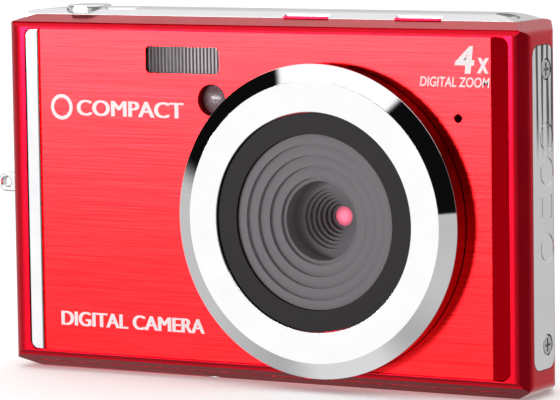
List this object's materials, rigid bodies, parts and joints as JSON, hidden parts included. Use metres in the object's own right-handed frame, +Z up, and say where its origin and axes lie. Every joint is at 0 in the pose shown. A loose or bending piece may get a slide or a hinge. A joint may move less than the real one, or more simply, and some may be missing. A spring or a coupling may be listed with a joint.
{
  "type": "compact digital camera",
  "caption": "Slim pocket digital camera with a red metal casing, a bright lens ring, flash, rear display, keys and a sliding, hinged battery door.",
  "frame": {"origin": "mouth of the tripod socket, in the middle of the base", "axes": "+Z up, -Y the way the lens looks, +X to the right of someone facing the lens"},
  "size_m": [0.1011, 0.0225, 0.0602],
  "materials": {
    "red_casing": "gloss metallic red",
    "red_plate": "brushed, red anodised",
    "chrome": "polished",
    "silver_plastic": "silver, satin",
    "screws": "bright",
    "black_ring": "satin black",
    "baffle_grey": "fine matt grey",
    "lens_glass": "coated",
    "clear_window": "clear",
    "display_glass": "gloss black surround",
    "reflector": "bright",
    "keys": "satin silver",
    "boards": "green solder mask",
    "sheet_steel": "stamped",
    "dark_plastic": "black",
    "battery_wrap": "grey sleeve",
    "capacitor_can": "sleeved",
    "socket_brass": "turned"
  },
  "bodies": {
    "root": {"front_shell": "red_casing", "rear_shell": "red_casing", "face_plate": "red_plate", "lens_bezel": "chrome", "face_trim": "chrome", "side_plate_right": "chrome", "side_plate_left": "chrome", "strap_lug": "chrome", "top_band": "silver_plastic", "case_screws": "screws", "chassis_screws": "screws", "zoom_pin": "screws", "lens_front_ring": "black_ring", "lens_barrel": "black_ring", "lens_holder": "black_ring", "lens_outer_baffle": "baffle_grey", "lens_inner_baffle": "baffle_grey", "front_lens": "lens_glass", "rear_lens": "lens_glass", "ir_filter": "lens_glass", "flash_window": "clear_window", "lamp_window": "clear_window", "flash_tube": "clear_window", "status_light": "clear_window", "display_window": "display_glass", "flash_reflector": "reflector", "main_board": "boards", "key_board": "boards", "sensor_board": "boards", "flash_board": "boards", "top_switch_board": "boards", "chassis": "sheet_steel", "card_socket": "sheet_steel", "usb_socket": "sheet_steel", "display_frame": "sheet_steel", "battery_contacts": "sheet_steel", "battery_bay": "dark_plastic", "speaker": "dark_plastic", "microphone": "dark_plastic", "display_panel": "dark_plastic", "image_sensor": "dark_plastic", "battery": "battery_wrap", "flash_capacitor": "capacitor_can", "tripod_socket": "socket_brass"},
    "shutter": {"shutter_button": "chrome"},
    "power": {"power_button": "silver_plastic"},
    "zoom": {"zoom_rocker": "silver_plastic"},
    "mode_key": {"mode_button": "keys"},
    "play_key": {"play_button": "keys"},
    "menu_key": {"menu_button": "keys"},
    "delete_key": {"delete_button": "keys"},
    "nav_up_key": {"nav_up": "keys"},
    "nav_down_key": {"nav_down": "keys"},
    "nav_left_key": {"nav_left": "keys"},
    "nav_right_key": {"nav_right": "keys"},
    "ok_key": {"ok_button": "keys"},
    "carriage": {"door_carriage": "sheet_steel", "door_pin": "screws"},
    "door": {"battery_door": "red_casing"},
    "latch": {"battery_latch": "dark_plastic"}
  },
  "joints": [
    {"name": "shutter_press", "type": "slide", "parent": "root", "child": "shutter", "axis": [0, 0, -1], "range_m": [0, 0.0008], "stiffness_N_per_m": 900},
    {"name": "power_press", "type": "slide", "parent": "root", "child": "power", "axis": [0, 0, -1], "range_m": [0, 0.0005], "stiffness_N_per_m": 1600},
    {"name": "zoom_tilt", "type": "hinge", "parent": "root", "child": "zoom", "pos_m": [-0.0315, 0.0065, 0.051], "axis": [0, 0, 1], "range_deg": [-3.5, 3.5], "stiffness_Nm_per_rad": 0.09},
    {"name": "mode_press", "type": "slide", "parent": "root", "child": "mode_key", "axis": [0, -1, 0], "range_m": [0, 0.0003], "stiffness_N_per_m": 3000},
    {"name": "play_press", "type": "slide", "parent": "root", "child": "play_key", "axis": [0, -1, 0], "range_m": [0, 0.0003], "stiffness_N_per_m": 3000},
    {"name": "menu_press", "type": "slide", "parent": "root", "child": "menu_key", "axis": [0, -1, 0], "range_m": [0, 0.0003], "stiffness_N_per_m": 3000},
    {"name": "delete_press", "type": "slide", "parent": "root", "child": "delete_key", "axis": [0, -1, 0], "range_m": [0, 0.0003], "stiffness_N_per_m": 3000},
    {"name": "nav_up_press", "type": "slide", "parent": "root", "child": "nav_up_key", "axis": [0, -1, 0], "range_m": [0, 0.0003], "stiffness_N_per_m": 3000},
    {"name": "nav_down_press", "type": "slide", "parent": "root", "child": "nav_down_key", "axis": [0, -1, 0], "range_m": [0, 0.0003], "stiffness_N_per_m": 3000},
    {"name": "nav_left_press", "type": "slide", "parent": "root", "child": "nav_left_key", "axis": [0, -1, 0], "range_m": [0, 0.0003], "stiffness_N_per_m": 3000},
    {"name": "nav_right_press", "type": "slide", "parent": "root", "child": "nav_right_key", "axis": [0, -1, 0], "range_m": [0, 0.0003], "stiffness_N_per_m": 3000},
    {"name": "ok_press", "type": "slide", "parent": "root", "child": "ok_key", "axis": [0, -1, 0], "range_m": [0, 0.0003], "stiffness_N_per_m": 3000},
    {"name": "door_slide", "type": "slide", "parent": "root", "child": "carriage", "axis": [-1, 0, 0], "range_m": [0, 0.002]},
    {"name": "door_hinge", "type": "hinge", "parent": "carriage", "child": "door", "pos_m": [-0.0109, 0, 0.0009], "axis": [0, -1, 0], "range_deg": [0, 95]},
    {"name": "latch_slide", "type": "slide", "parent": "root", "child": "latch", "axis": [-1, 0, 0], "range_m": [0, 0.0011], "stiffness_N_per_m": 300}
  ]
}
